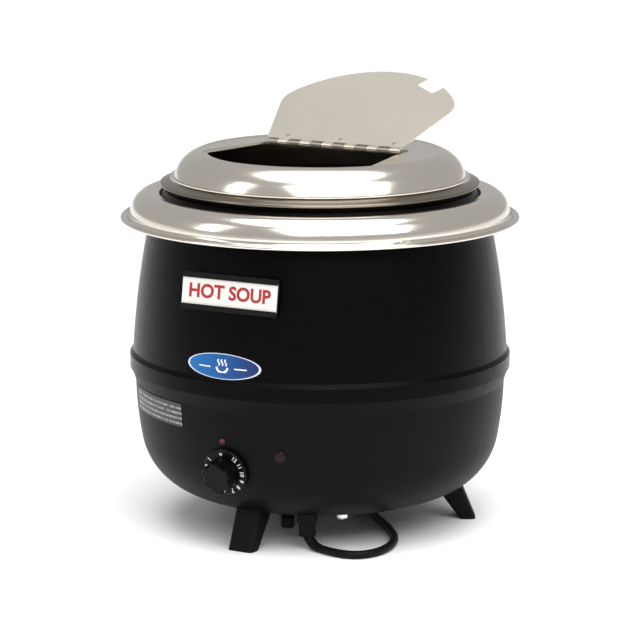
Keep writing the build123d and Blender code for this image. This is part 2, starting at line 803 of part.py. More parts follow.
# ---------------------------------------------------------------- heater under the well
element_r = 75.0
element_width = 9.0
element_height = 7.0
element_turn = 330          # degrees of the ring that the element fills
element_start = 0.0
terminal_r = 2.6
terminal_length = 17.0
terminal_turn = 3           # degrees from the ring's end to its terminal
z_element = z_well_under - element_height
z_element_mid = z_element + element_height / 2
clamp_r = 85.0
clamp_sheet = 1.5
centre_stud_r = 4.0
nut_thick = 6.5
nut_flat = 6.5              # half across the flats
shield_r = 92.0
shield_sheet = 1.0
z_clamp = z_element - clamp_sheet
z_shield = z_clamp - 2 * nut_thick - 5.0


def turned_plane(angle, z=0.0):
    """Upright plane through the kettle's axis, turned from +X by an angle."""
    a = radians(angle)
    return Plane(origin=(0, 0, z), x_dir=(cos(a), sin(a), 0), z_dir=(sin(a), -cos(a), 0))


with BuildPart() as heater_element:
    with BuildSketch(turned_plane(element_start)):
        with Locations((element_r, z_element_mid)):
            RectangleRounded(element_width, element_height, 2.0)
    revolve(axis=Axis.Z, revolution_arc=element_turn)
    for angle in [element_start + terminal_turn, element_start + element_turn - terminal_turn]:
        out = Vector(cos(radians(angle)), sin(radians(angle)), 0)
        with BuildSketch(Plane(origin=out * element_r + Vector(0, 0, z_element_mid), z_dir=out)):
            Circle(terminal_r)
        extrude(amount=terminal_length)
save(heater_element, "heater_element")

with BuildPart() as heater_clamp:
    with BuildSketch(Plane.XY.offset(z_clamp)):
        Circle(clamp_r)
        Circle(centre_stud_r + nested, mode=Mode.SUBTRACT)
    extrude(amount=clamp_sheet)
save(heater_clamp, "heater_clamp")

with BuildPart() as heater_stud:
    with BuildSketch(Plane.XY.offset(z_shield - nut_thick - 2)):
        Circle(centre_stud_r)
    extrude(amount=z_well_under - z_shield + nut_thick + 2)
save(heater_stud, "heater_stud")

with BuildPart() as heater_nuts:
    for z in [z_clamp - nut_thick, z_shield + shield_sheet, z_shield - nut_thick]:
        with BuildSketch(Plane.XY.offset(z)):
            RegularPolygon(nut_flat, 6, major_radius=False)
            Circle(centre_stud_r, mode=Mode.SUBTRACT)
        extrude(amount=nut_thick)
save(heater_nuts, "heater_nuts")

with BuildPart() as heat_shield:
    with BuildSketch(Plane.XY.offset(z_shield)):
        Circle(shield_r)
        Circle(centre_stud_r + nested, mode=Mode.SUBTRACT)
    extrude(amount=shield_sheet)
save(heat_shield, "heat_shield")

# ---------------------------------------------------------------- fittings on the bowl's floor
z_inside = z_bowl + bowl_sheet
terminal_x = 62.0
terminal_y = -36.0
terminal_height = 16.0
earth_x = -50.0
earth_y = -60.0
earth_top = z_inside + 13.0

with BuildPart() as terminal_block:
    with BuildSketch(Plane(origin=(terminal_x, terminal_y, z_inside))):
        RectangleRounded(30, 20, 1.5)
    extrude(amount=terminal_height)
    with BuildSketch(Plane(origin=(terminal_x, terminal_y - 6, z_inside + terminal_height))):
        with GridLocations(10, 12, 3, 1):
            Circle(2.0)
    extrude(amount=-5, mode=Mode.SUBTRACT)
save(terminal_block, "terminal_block")

with BuildPart() as earth_stud:
    with BuildSketch(Plane(origin=(earth_x, earth_y, z_inside))):
        RegularPolygon(4.0, 6, major_radius=False)
    extrude(amount=4)
    with BuildSketch(Plane(origin=(earth_x, earth_y, z_inside))):
        Circle(2.5)
    extrude(amount=earth_top - z_inside)
save(earth_stud, "earth_stud")

# Thermal cut-out: body inside, neck and nut through the bowl, and a booted reset button.
cutout_body_r = 9.0
cutout_body_height = 25.0
cutout_nut = 4.0
button_stem_r = 3.0
button_head_r = 6.0
button_travel = 2.0
button_foot = 12.0          # level of the button's end
button_head_top = z_bowl - cutout_nut - button_travel - 0.6
button_top = z_bowl + 6.0

with BuildPart() as cutout_body:
    with BuildSketch(Plane(origin=on_floor(cutout_reach, cutout_azimuth, z_inside))):
        Circle(cutout_body_r)
    extrude(amount=cutout_body_height)
    with BuildSketch(Plane(origin=on_floor(cutout_reach, cutout_azimuth, z_bowl - cutout_nut))):
        Circle(cutout_r)
    extrude(amount=cutout_nut + bowl_sheet)
    with BuildSketch(Plane(origin=on_floor(cutout_reach, cutout_azimuth, z_bowl - cutout_nut))):
        Circle(button_stem_r + running)
    extrude(amount=button_top + button_travel + 1.0 - z_bowl + cutout_nut, mode=Mode.SUBTRACT)
save(cutout_body, "cutout_body")

with BuildPart() as cutout_nut_ring:
    with BuildSketch(Plane(origin=on_floor(cutout_reach, cutout_azimuth, z_bowl - cutout_nut))):
        RegularPolygon(cutout_body_r - 1.0, 6, major_radius=False)
        Circle(cutout_r, mode=Mode.SUBTRACT)
    extrude(amount=cutout_nut)
save(cutout_nut_ring, "cutout_nut")

with BuildPart() as reset_button:
    with BuildSketch(Plane(origin=on_floor(cutout_reach, cutout_azimuth, button_foot))):
        Circle(button_head_r)
    extrude(amount=button_head_top - button_foot)
    fillet(reset_button.edges().group_by(Axis.Z)[0], 2.0)
    with BuildSketch(Plane(origin=on_floor(cutout_reach, cutout_azimuth, button_head_top))):
        Circle(button_stem_r)
    extrude(amount=button_top - button_head_top)
save(reset_button, "reset_button")

# Strain relief: a square bush whose flange is shaped to the bowl's corner.
relief_flange = 17.0
relief_block = 13.5
relief_end = 12.0
relief_top = z_bowl + 8.0
cord_r = cord_d / 2

# Route of the cord from the strain relief to the coil, with the floor at cord_r.
cord_route = [
    (44.0, -99.0, 15.0),
    (49.0, -101.2, 7.0),
    (57.0, -103.9, cord_r),
    (68.4, -107.6, cord_r),
    (81.9, -108.1, cord_r),
    (95.2, -103.8, cord_r),
    (106.2, -95.2, cord_r),
    (113.4, -83.3, cord_r),
    (116.0, -69.6, cord_r),
    (114.4, -55.7, cord_r),
    (107.6, -39.0, cord_r),
    (95.4, -23.2, cord_r),
    (76.5, -5.0, cord_r),
    (49.0, 18.2, cord_r),
    (24.0, 41.5, cord_r),
    (-2.0, 73.0, cord_r),
    (-18.0, 105.0, cord_r),
    (-25.0, 128.0, cord_r),
    (-24.5, 148.0, cord_r),
]


def route_radii(points):
    """Largest tangent arc at each corner: 0.45 of its shorter run over the tangent of half its turn."""
    radii = []
    for before, corner, after in zip(points, points[1:], points[2:]):
        run_in = Vector(*corner) - Vector(*before)
        run_out = Vector(*after) - Vector(*corner)
        half_turn = radians(run_in.get_angle(run_out)) / 2
        radii.append(0.45 * min(run_in.length, run_out.length) / tan(half_turn))
    return radii


with BuildPart() as power_cord:
    with BuildLine() as cord_line:
        FilletPolyline(*cord_route, radius=route_radii(cord_route))
    with BuildSketch(Plane(origin=cord_line.line @ 0, z_dir=cord_line.line % 0)):
        Circle(cord_r)
    sweep()
save(power_cord, "power_cord")

with BuildPart() as strain_relief:
    with BuildSketch(radial_plane(relief_reach, relief_azimuth, z_bowl - 3.5)):
        RectangleRounded(relief_flange, relief_flange, 2.0)
    extrude(amount=9)
    add(bowl_envelope.part, mode=Mode.SUBTRACT)
    with BuildSketch(radial_plane(relief_reach, relief_azimuth, relief_end)):
        RectangleRounded(relief_block, relief_block, 2.5)
    extrude(amount=z_bowl - 3.0 - relief_end)
    with BuildSketch(radial_plane(relief_reach, relief_azimuth, z_bowl - 3.0)):
        Circle(relief_neck_r)
    extrude(amount=relief_top - z_bowl + 3.0)
save(strain_relief, "strain_relief")

# The rest of the cord is wound up and tied behind the kettle, with its plug beside it.
coil_x = -70.0
coil_y = 167.0
coil_turn_r = 42.0          # middle of the turns
coil_height = 2 * cord_d
coil_axis = Axis((coil_x, coil_y, 0), (0, 0, 1))

with BuildPart() as cord_coil:
    with BuildSketch(Plane(origin=(coil_x, coil_y, 0), x_dir=(1, 0, 0), z_dir=(0, -1, 0))):
        with Locations((coil_turn_r, cord_d)):
            RectangleRounded(2 * cord_d, coil_height, 3.0)
    revolve(axis=coil_axis)
save(cord_coil, "cord_coil")

tie_sheet = 1.0
tie_width = 2 * (cord_d + tie_sheet)
with BuildPart() as coil_tie:
    with BuildSketch(Plane(origin=(coil_x, coil_y, 0), x_dir=(-1, 0, 0), z_dir=(0, 1, 0))):
        with Locations((coil_turn_r, slip)):
            Rectangle(tie_width, coil_height + tie_sheet - slip, align=(Align.CENTER, Align.MIN))
        with Locations((coil_turn_r, 0)):
            Rectangle(2 * cord_d, coil_height, align=(Align.CENTER, Align.MIN), mode=Mode.SUBTRACT)
    revolve(axis=coil_axis, revolution_arc=10)
save(coil_tie, "coil_tie")

plug_z = 18.5
tail_route = [
    (coil_x, coil_y + 45.5, 10.5),
    (coil_x - 16, coil_y + 46.5, 12.5),
    (coil_x - 31, coil_y + 46.0, plug_z - 1.0),
    (coil_x - 44, coil_y + 46.0, plug_z),
]
with BuildPart() as cord_tail:
    with BuildLine() as tail_line:
        FilletPolyline(*tail_route, radius=route_radii(tail_route))
    with BuildSketch(Plane(origin=tail_line.line @ 0, z_dir=tail_line.line % 0)):
        Circle(cord_r)
    sweep()
save(cord_tail, "cord_tail")

plug_x = coil_x - 36        # rear of the plug's sleeve
sleeve_length = 20.0
plug_length = 38.0
plug_r = 18.0
pin_r = 2.4
pin_length = 19.0
pin_pitch = 19.0
plug_plane = Plane(origin=(plug_x, coil_y + 46, plug_z), x_dir=(0, 1, 0), z_dir=(-1, 0, 0))

with BuildPart() as plug_body:
    with BuildSketch(plug_plane):
        Circle(cord_r + 1.5)
    with BuildSketch(plug_plane.offset(sleeve_length)):
        Circle(cord_r + 4.5)
    loft()
    with BuildSketch(plug_plane.offset(sleeve_length)):
        Circle(cord_r + 4.5)
    with BuildSketch(plug_plane.offset(sleeve_length + 12)):
        Circle(plug_r)
    loft()
    with BuildSketch(plug_plane.offset(sleeve_length + 12)):
        Circle(plug_r)
    extrude(amount=plug_length - 12)
save(plug_body, "plug_body")

with BuildPart() as plug_pins:
    with BuildSketch(plug_plane.offset(sleeve_length + plug_length)):
        with GridLocations(pin_pitch, 0, 2, 1):
            Circle(pin_r)
    extrude(amount=pin_length)
    fillet(plug_pins.edges().group_by(Axis.X)[0], 1.6)
save(plug_pins, "plug_pins")

# ---------------------------------------------------------------- leads inside the bowl
lead_r = 1.2
lead_bend = 5.0

relief_point = on_floor(relief_reach, relief_azimuth, relief_top)
terminal_top = z_inside + terminal_height
thermostat_low = knob_plane.origin - knob_plane.z_dir * 17 - knob_plane.y_dir * body_width / 2
thermostat_below = thermostat_low - knob_plane.y_dir * 9
lead_routes = [
    [
        relief_point,
        (relief_point[0], relief_point[1], z_bowl + 24),
        (terminal_x, terminal_y, z_bowl + 24),
        (terminal_x, terminal_y, terminal_top),
    ],
    [
        (terminal_x - 8, terminal_y + 4, terminal_top),
        (terminal_x - 8, terminal_y + 4, z_bowl + 30),
        (6, -60, z_bowl + 28),
        (-16, -104, z_bowl + 22),
        (-8, thermostat_below.Y, thermostat_below.Z),
        (-8, thermostat_low.Y, thermostat_low.Z),
    ],
    [
        (terminal_x - 11, terminal_y + 6, terminal_top),
        (terminal_x - 11, terminal_y + 6, z_bowl + 24),
        (earth_x, earth_y, z_bowl + 24),
        (earth_x, earth_y, earth_top),
    ],
]
with BuildPart() as internal_leads:
    for route in lead_routes:
        with BuildLine() as lead_line:
            FilletPolyline(*route, radius=lead_bend)
        with BuildSketch(Plane(origin=lead_line.line @ 0, z_dir=lead_line.line % 0)):
            Circle(lead_r)
        sweep()
save(internal_leads, "internal_leads")

# ---------------------------------------------------------------- card holder and labels
holder_width = 91.0
holder_height = 31.0
holder_back = -0.8          # levels in front of the shell's skin
holder_face = 0.8
rail_front = 3.0
rail_lip = 0.8
rail_cover = 3.0            # how far a lip laps over the card
card_sheet = 0.8
card_gap = 0.4
rail_half = card_height / 2 + card_gap
rivet_length = 11.0

with BuildPart() as shell_envelope:
    with BuildSketch(Plane.XZ):
        with BuildLine():
            low_out, top_out = shell_skin(0, z_deck)
            Polyline(top_out, (0, top_out.Y), (0, low_out.Y), low_out)
        make_face()
    revolve(axis=Axis.Z)

with BuildPart() as card_holder:
    with BuildSketch(card_plane.offset(holder_back)):
        RectangleRounded(holder_width, holder_height, 1.0)
    extrude(amount=rail_front - holder_back)
    with BuildSketch(card_plane.offset(holder_face)):
        Rectangle(holder_width + 2, 2 * rail_half)
    extrude(amount=rail_front - rail_lip - holder_face, mode=Mode.SUBTRACT)
    with BuildSketch(card_plane.offset(holder_face)):
        Rectangle(holder_width + 2, 2 * (rail_half - rail_cover))
    extrude(amount=rail_front, mode=Mode.SUBTRACT)
    add(shell_envelope.part, mode=Mode.SUBTRACT)
    with BuildSketch(card_plane.offset(holder_back)):
        with GridLocations(2 * rivet_x, 0, 2, 1):
            Circle(rivet_r)
    extrude(amount=rail_front - holder_back, mode=Mode.SUBTRACT)
save(card_holder, "card_holder")

with BuildPart() as card_rivets:
    with BuildSketch(card_plane.offset(holder_face - rivet_length)):
        with GridLocations(2 * rivet_x, 0, 2, 1):
            Circle(rivet_r)
    extrude(amount=rivet_length)
save(card_rivets, "card_rivets")

with BuildPart() as menu_card:
    with BuildSketch(card_plane.offset(holder_face + slip)):
        RectangleRounded(card_width, card_height, 1.0)
    extrude(amount=card_sheet)
save(menu_card, "menu_card")

badge_width = 71.0
badge_height = 21.5
z_badge = z_seam + 27.3
badge_half_turn = 20.0
label_sheet = 0.4
badge_tilt = degrees(asin((z_badge - z_barrel) / shell_curve_r))
badge_plane = facing(0, barrel(z_badge), z_badge, badge_tilt)

with BuildPart() as oval_badge:
    with BuildSketch(turned_plane(-90 - badge_half_turn)):
        with BuildLine():
            low = z_badge - badge_height / 2 - 0.5
            high = z_badge + badge_height / 2 + 0.5
            inside = ThreePointArc((barrel(low), low), (barrel(z_badge), z_badge), (barrel(high), high))
            outside = ThreePointArc(
                (barrel(low) + label_sheet, low),
                (barrel(z_badge) + label_sheet, z_badge),
                (barrel(high) + label_sheet, high),
            )
            Line(inside @ 0, outside @ 0)
            Line(inside @ 1, outside @ 1)
        make_face()
    revolve(axis=Axis.Z, revolution_arc=2 * badge_half_turn)
    with BuildSketch(badge_plane.offset(-15)):
        Ellipse(badge_width / 2, badge_height / 2)
    extrude(amount=20, mode=Mode.INTERSECT)
save(oval_badge, "oval_badge")

label_start = -46.7         # azimuths of the caution label's ends
label_turn = 30.2
label_low = z_seam - 31.5
label_high = z_seam - 11.5
with BuildPart() as caution_label:
    with BuildSketch(turned_plane(-90 + label_start)):
        with BuildLine():
            mid = (label_low + label_high) / 2
            inside = ThreePointArc(
                (bowl_side(label_low), label_low),
                (bowl_side(mid), mid),
                (bowl_side(label_high), label_high),
            )
            outside = ThreePointArc(
                (bowl_side(label_low) + label_sheet, label_low),
                (bowl_side(mid) + label_sheet, mid),
                (bowl_side(label_high) + label_sheet, label_high),
            )
            Line(inside @ 0, outside @ 0)
            Line(inside @ 1, outside @ 1)
        make_face()
    revolve(axis=Axis.Z, revolution_arc=label_turn)
save(caution_label, "caution_label")
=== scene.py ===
from math import asin, cos, pi, radians, sin, sqrt

import bpy
from mathutils import Matrix, Vector


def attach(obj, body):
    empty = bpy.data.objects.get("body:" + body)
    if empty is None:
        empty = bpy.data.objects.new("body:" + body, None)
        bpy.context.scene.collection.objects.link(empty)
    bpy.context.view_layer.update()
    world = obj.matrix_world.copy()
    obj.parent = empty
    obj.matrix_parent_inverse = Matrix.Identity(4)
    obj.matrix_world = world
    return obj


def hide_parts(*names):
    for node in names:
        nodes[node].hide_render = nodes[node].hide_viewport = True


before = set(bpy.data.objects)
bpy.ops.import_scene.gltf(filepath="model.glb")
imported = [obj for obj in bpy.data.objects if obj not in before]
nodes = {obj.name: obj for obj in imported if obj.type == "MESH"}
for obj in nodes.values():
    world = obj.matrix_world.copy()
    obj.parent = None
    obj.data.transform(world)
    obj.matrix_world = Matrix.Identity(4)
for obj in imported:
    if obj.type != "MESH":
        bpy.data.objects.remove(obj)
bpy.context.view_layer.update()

# ---------------------------------------------------------------- room
# A pale floor under soft studio light: a large window on the right, a weak panel on the left, a
# wide ceiling light and a bright surround. The camera stands a little above the kettle.
camera_distance = 2.700
camera_height = 0.7163
camera_azimuth = radians(30)
camera_pitch = radians(11.2)
camera_lens = 181.5
camera_shift = -6.5 / 627


class Wire:
    """A socket of a shader tree that Python's operators build Math nodes on."""

    def __init__(self, finish, socket):
        self.finish = finish
        self.socket = socket

    def _math(self, operation, *values):
        return self.finish.node("ShaderNodeMath", {"operation": operation}, values)

    def __add__(self, other):
        return self._math("ADD", self, other)

    def __sub__(self, other):
        return self._math("SUBTRACT", self, other)

    def __mul__(self, other):
        return self._math("MULTIPLY", self, other)

    def __truediv__(self, other):
        return self._math("DIVIDE", self, other)

    def __lt__(self, other):
        return self._math("LESS_THAN", self, other)

    def __gt__(self, other):
        return self._math("GREATER_THAN", self, other)

    def root(self):
        return self._math("SQRT", self)

    def size(self):
        return self._math("ABSOLUTE", self)

    def sine(self):
        return self._math("SINE", self)

    def over(self, other):
        """Angle of a point whose first coordinate this is and whose second is other."""
        return self._math("ARCTAN2", self, other)


class Finish:
    """A material around one Principled shader."""

    def __init__(self, name, **constants):
        self.material = bpy.data.materials.new(name)
        self.material.use_nodes = True
        self.tree = self.material.node_tree
        self.shader = self.tree.nodes["Principled BSDF"]
        for socket, value in constants.items():
            self.set(socket.replace("_", " "), value)

    def node(self, kind, settings=None, values=(), output=0):
        """A new node with its settings made first, then its sockets by place or by name."""
        node = self.tree.nodes.new(kind)
        for name, value in (settings or {}).items():
            setattr(node, name, value)
        pairs = values.items() if isinstance(values, dict) else enumerate(values)
        for place, value in pairs:
            self.feed(node.inputs[place], value)
        return Wire(self, node.outputs[output])

    def feed(self, socket, value):
        if isinstance(value, Wire):
            self.tree.links.new(value.socket, socket)
        elif socket.type == "RGBA" and len(value) == 3:
            socket.default_value = (*value, 1)
        else:
            socket.default_value = value

    def set(self, name, value):
        self.feed(self.shader.inputs[name], value)

    def point(self):
        """The point's own place in the object, as one vector wire."""
        return self.node("ShaderNodeTexCoord", output="Object")

    def place(self):
        """The point's own place in the object, as three wires."""
        split = self.node("ShaderNodeSeparateXYZ", values=[self.point()])
        return [Wire(self, output) for output in split.socket.node.outputs]

    def join(self, x, y, z):
        return self.node("ShaderNodeCombineXYZ", values=[x, y, z])

    def noise(self, vector, scale, detail=2.0, roughness=0.5):
        values = {"Vector": vector, "Scale": scale, "Detail": detail, "Roughness": roughness}
        return self.node("ShaderNodeTexNoise", values=values)

    def blend(self, factor, first, second):
        """Colour that goes from first to second as factor goes from 0 to 1."""
        values = {0: factor, 6: first, 7: second}
        return self.node("ShaderNodeMix", {"data_type": "RGBA"}, values, output=2)

    def bump(self, height, distance, strength=1.0):
        values = {"Height": height, "Distance": distance, "Strength": strength}
        self.set("Normal", self.node("ShaderNodeBump", values=values))


def dress(finish, *names):
    """Gives CAD nodes or pieces a finish."""
    for name in names:
        piece = nodes[name] if isinstance(name, str) else name
        piece.data.materials.clear()
        piece.data.materials.append(finish.material)


def piece_from(name, body, finish, mesh):
    """A new piece on a CAD body, with its finish."""
    piece = bpy.data.objects.new(name, mesh)
    bpy.context.collection.objects.link(piece)
    dress(finish, piece)
    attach(piece, body)
    return piece


camera = bpy.data.cameras.new("camera")
camera.lens = camera_lens
camera.sensor_width = 36
camera.shift_x = camera_shift
camera.clip_end = 30
tripod = bpy.data.objects.new("camera", camera)
bpy.context.collection.objects.link(tripod)
tripod.location = (
    camera_distance * sin(camera_azimuth),
    -camera_distance * cos(camera_azimuth),
    camera_height,
)
tripod.rotation_euler = (pi / 2 - camera_pitch, 0, camera_azimuth)
bpy.context.scene.camera = tripod
bpy.context.scene.view_settings.view_transform = "Standard"

floor_mesh = bpy.data.meshes.new("floor")
floor_half = 40.0
floor_corners = [(-floor_half, -floor_half, 0), (floor_half, -floor_half, 0)]
floor_corners += [(floor_half, floor_half, 0), (-floor_half, floor_half, 0)]
floor_mesh.from_pydata(floor_corners, [], [(0, 1, 2, 3)])
floor = bpy.data.objects.new("floor", floor_mesh)
bpy.context.collection.objects.link(floor)
floor.location.z = -0.0002
dress(Finish("pale_floor", Base_Color=(0.95, 0.95, 0.95), Roughness=0.9), floor)

world = bpy.data.worlds.new("surround")
world.use_nodes = True
world.node_tree.nodes["Background"].inputs["Color"].default_value = (1, 1, 1, 1)
world.node_tree.nodes["Background"].inputs["Strength"].default_value = 0.5
bpy.context.scene.world = world


kettle_middle = Vector((0, 0, 0.2))


def panel_light(name, azimuth, elevation, distance, width, height, power):
    """An area light that faces the kettle, placed by its direction from it."""
    light = bpy.data.lights.new(name, "AREA")
    light.shape = "RECTANGLE"
    light.size = width
    light.size_y = height
    light.energy = power
    lamp = bpy.data.objects.new(name, light)
    bpy.context.collection.objects.link(lamp)
    a = radians(azimuth)
    e = radians(elevation)
    back = Vector((sin(a) * cos(e), -cos(a) * cos(e), sin(e)))
    lamp.location = back * distance + kettle_middle
    lamp.rotation_euler = back.to_track_quat("Z", "Y").to_euler()


panel_light("window_right", 48, 42, distance=1.9, width=2.4, height=1.3, power=40)
panel_light("window_left", -40, 28, distance=2.2, width=0.5, height=1.2, power=6)

sky = bpy.data.lights.new("ceiling", "SUN")
sky.energy = 2.0
sky.angle = radians(55)
ceiling = bpy.data.objects.new("ceiling", sky)
bpy.context.collection.objects.link(ceiling)
ceiling.location = (0, 0, 3)

# ---------------------------------------------------------------- shell and bowl
# Two deep-drawn steel pressings, sprayed black. The upper one has the fine orange peel of a
# powder coat, the lower one is smoother, and a rolled bead hides their joint.
black_shell = Finish("powder_coat", Specular_IOR_Level=0.055)
point = black_shell.point()
peel = black_shell.noise(point, 800, 3.0, 0.6)
cloud = black_shell.noise(point, 9, 2.0)
black = black_shell.blend(cloud, (0.0004, 0.0004, 0.0005), (0.0010, 0.0010, 0.0012))
black_shell.set("Base Color", black)
black_shell.set("Roughness", peel * 0.16 + 0.16)
black_shell.bump(peel, 0.0006, 0.6)
dress(black_shell, "upper_shell", "water_well")

bowl_coat = Finish("bowl_enamel", Specular_IOR_Level=0.07)
point = bowl_coat.point()
peel = bowl_coat.noise(point, 700, 2.0)
cloud = bowl_coat.noise(point, 11, 3.0)
black = bowl_coat.blend(cloud, (0.0018, 0.0018, 0.0019), (0.0032, 0.0032, 0.0033))
bowl_coat.set("Base Color", black)
bowl_coat.set("Roughness", cloud * 0.1 + 0.36)
bowl_coat.bump(peel, 0.0002, 0.35)
dress(bowl_coat, "lower_bowl")

# ---------------------------------------------------------------- rim, pot and lid
# Stainless steel, spun and then brushed round with a fine belt, so the marks run in circles.
# The flap is cut from sheet that was brushed along the hinge.


def steel(name, tint, rough, streaks):
    """Brushed stainless steel; streaks turns a finish's place wires into the streak vector."""
    finish = Finish(name, Metallic=1.0)
    point = finish.point()
    fine = finish.noise(streaks(finish, *finish.place()), 1.0, 4.0, 0.65)
    cloud = finish.noise(point, 14, 2.0)
    dark = tuple(0.90 * c for c in tint)
    finish.set("Base Color", finish.blend(fine * 0.6 + cloud * 0.4, dark, tint))
    finish.set("Roughness", fine * 0.10 + cloud * 0.05 + rough)
    finish.bump(fine, 0.00005, 0.35)
    return finish


def round_streaks(finish, x, y, z):
    """Streaks that run in circles about the kettle's axis."""
    reach = (x * x + y * y).root()
    return finish.join(reach * 2600, z * 2600, x.over(y) * 3)


def hinge_streaks(finish, x, y, z):
    """Streaks that run along the hinge."""
    return finish.join(x * 9, y * 2400, z * 2400)


steel_tint = (0.77, 0.72, 0.64)
spun_steel = steel("spun_stainless", steel_tint, 0.10, round_streaks)
sheet_steel = steel("brushed_stainless", (0.76, 0.71, 0.62), 0.24, hinge_streaks)
pot_steel = steel("pot_stainless", steel_tint, 0.16, round_streaks)
x, y, z = pot_steel.place()
pot_inside_painted_shade = (0.20, 0.175, 0.14)   # painted shade: the pot's inside below the flange, darkened in place of its shade and dim reflections of itself
flange_level = 0.302
# Below the flange level the steel's colour is painted darker: painted shade inside the pot.
pot_steel.set("Base Color", pot_steel.blend(z > flange_level, pot_inside_painted_shade, steel_tint))
dress(spun_steel, "rim_ring", "lid_shell", "lid_locating_ring")
dress(pot_steel, "soup_pot")
dress(sheet_steel, "flap", "hinge_moving_leaf")
# The fixed leaf and the pin get a darker steel colour: painted shade standing in for the shadowed
# slots between the knuckles.
hinge_painted_shade_steel = steel("hinge_painted_shade_steel", (0.40, 0.37, 0.33), 0.3, hinge_streaks)
dress(hinge_painted_shade_steel, "hinge_fixed_leaf", "hinge_pin")

# ---------------------------------------------------------------- spot welds
# Three spot welds hold the flap to its hinge leaf. Each leaves a shallow round button with a
# heat-darkened edge on the sheet.
hinge_axis = Vector((0, 0.022, 0.3262))
flap_lean = radians(25)
flap_along = Vector((0, cos(flap_lean), sin(flap_lean)))
flap_front = Vector((0, -sin(flap_lean), cos(flap_lean)))
weld_level = 0.0015         # the sheet's upper face, from the hinge axis
weld_reach = 0.0085         # from the hinge axis to the middle of the welds
weld_start = -0.049
weld_count = 3
weld_pitch = 0.053
weld_r = 0.0027
weld_height = 0.00035


def node_tree(name, sockets):
    """An empty geometry tree with named inputs and one mesh output."""
    tree = bpy.data.node_groups.new(name, "GeometryNodeTree")
    for label, kind in sockets:
        tree.interface.new_socket(label, in_out="INPUT", socket_type=kind)
    tree.interface.new_socket("Mesh", in_out="OUTPUT", socket_type="NodeSocketGeometry")
    return tree, tree.nodes.new("NodeGroupInput"), tree.nodes.new("NodeGroupOutput")


def step(tree, kind, links, **settings):
    """A node of a geometry tree, with its inputs linked or set by name."""
    node = tree.nodes.new(kind)
    for name, value in settings.items():
        setattr(node, name, value)
    for name, value in links.items():
        if isinstance(value, bpy.types.NodeSocket):
            tree.links.new(value, node.inputs[name])
        else:
            node.inputs[name].default_value = value
    return node


def grown(name, tree, values, matrix=None):
    """The plain mesh that a geometry tree gives for its named values, put in place."""
    carrier = bpy.data.objects.new(name, bpy.data.meshes.new(name))
    bpy.context.collection.objects.link(carrier)
    maker = carrier.modifiers.new("maker", "NODES")
    maker.node_group = tree
    for item in tree.interface.items_tree:
        if item.in_out == "INPUT":
            maker[item.identifier] = values[item.name]
    depsgraph = bpy.context.evaluated_depsgraph_get()
    mesh = bpy.data.meshes.new_from_object(carrier.evaluated_get(depsgraph))
    bpy.data.objects.remove(carrier)
    if matrix:
        mesh.transform(matrix)
    mesh.shade_smooth()
    return mesh


def axes(right, up, front, place):
    """Matrix that puts local X, Y and Z along three directions at a place."""
    return Matrix.Translation(place) @ Matrix((right, up, front)).transposed().to_4x4()


weld_metal = Finish("weld_mark", Metallic=1.0, Roughness=0.34)
point = weld_metal.point()
scorch = weld_metal.noise(point, 900)
weld_metal.set("Base Color", weld_metal.blend(scorch, (0.28, 0.25, 0.22), (0.5, 0.46, 0.4)))

weld_tree, given, result = node_tree("spot_welds", [
    ("Count", "NodeSocketInt"), ("Pitch", "NodeSocketFloat"),
    ("Radius", "NodeSocketFloat"), ("Height", "NodeSocketFloat"),
    ("Finish", "NodeSocketMaterial"),
])
row = step(weld_tree, "GeometryNodeMeshLine", {"Count": given.outputs["Count"]})
offset = step(weld_tree, "ShaderNodeCombineXYZ", {"X": given.outputs["Pitch"]})
weld_tree.links.new(offset.outputs[0], row.inputs["Offset"])
button = step(weld_tree, "GeometryNodeMeshUVSphere", {
    "Segments": 24, "Rings": 12, "Radius": given.outputs["Radius"],
})
ratio = step(weld_tree, "ShaderNodeMath", {
    0: given.outputs["Height"], 1: given.outputs["Radius"],
}, operation="DIVIDE")
flat = step(weld_tree, "ShaderNodeCombineXYZ", {"X": 1.0, "Y": 1.0, "Z": ratio.outputs[0]})
copies = step(weld_tree, "GeometryNodeInstanceOnPoints", {
    "Points": row.outputs["Mesh"], "Instance": button.outputs["Mesh"], "Scale": flat.outputs[0],
})
whole = step(weld_tree, "GeometryNodeRealizeInstances", {"Geometry": copies.outputs["Instances"]})
coated = step(weld_tree, "GeometryNodeSetMaterial", {
    "Geometry": whole.outputs["Geometry"], "Material": given.outputs["Finish"],
})
weld_tree.links.new(coated.outputs["Geometry"], result.inputs["Mesh"])
weld_place = hinge_axis + flap_along * weld_reach + flap_front * weld_level
weld_place = weld_place + Vector((weld_start, 0, 0))
weld_values = {
    "Count": weld_count, "Pitch": weld_pitch, "Radius": weld_r, "Height": weld_height,
    "Finish": weld_metal.material,
}
weld_matrix = axes(Vector((1, 0, 0)), flap_along, flap_front, weld_place)
weld_mesh = grown("flap_welds", weld_tree, weld_values, weld_matrix)
piece_from("flap_welds", "flap", weld_metal, weld_mesh)

# ---------------------------------------------------------------- metal fittings
# Zinc-plated nuts, screws and rivets, galvanised studs, clamp and heater, brass spindle, bulb and
# earth stud, and the glass-braided leads that run between the parts inside the bowl.
bright_zinc = Finish("bright_zinc", Base_Color=(0.78, 0.78, 0.8), Metallic=1.0, Roughness=0.16)
point = bright_zinc.point()
bright_zinc.set("Roughness", bright_zinc.noise(point, 300) * 0.14 + 0.1)
dress(bright_zinc, "tie_nuts", "foot_screws", "heater_nuts")
dress(bright_zinc, "thermostat_nut", "card_rivets", "plug_pins")

galvanised = Finish("galvanised", Base_Color=(0.5, 0.51, 0.53), Metallic=1.0)
point = galvanised.point()
galvanised.set("Roughness", galvanised.noise(point, 120, 3.0) * 0.25 + 0.3)
dress(galvanised, "tie_studs", "heater_element", "heater_clamp", "heater_stud", "heat_shield")

brass = Finish("brass", Base_Color=(0.72, 0.52, 0.22), Metallic=1.0)
point = brass.point()
brass.set("Roughness", brass.noise(point, 200, 2.0) * 0.2 + 0.2)
dress(brass, "thermostat_spindle", "thermostat_bulb", "earth_stud")

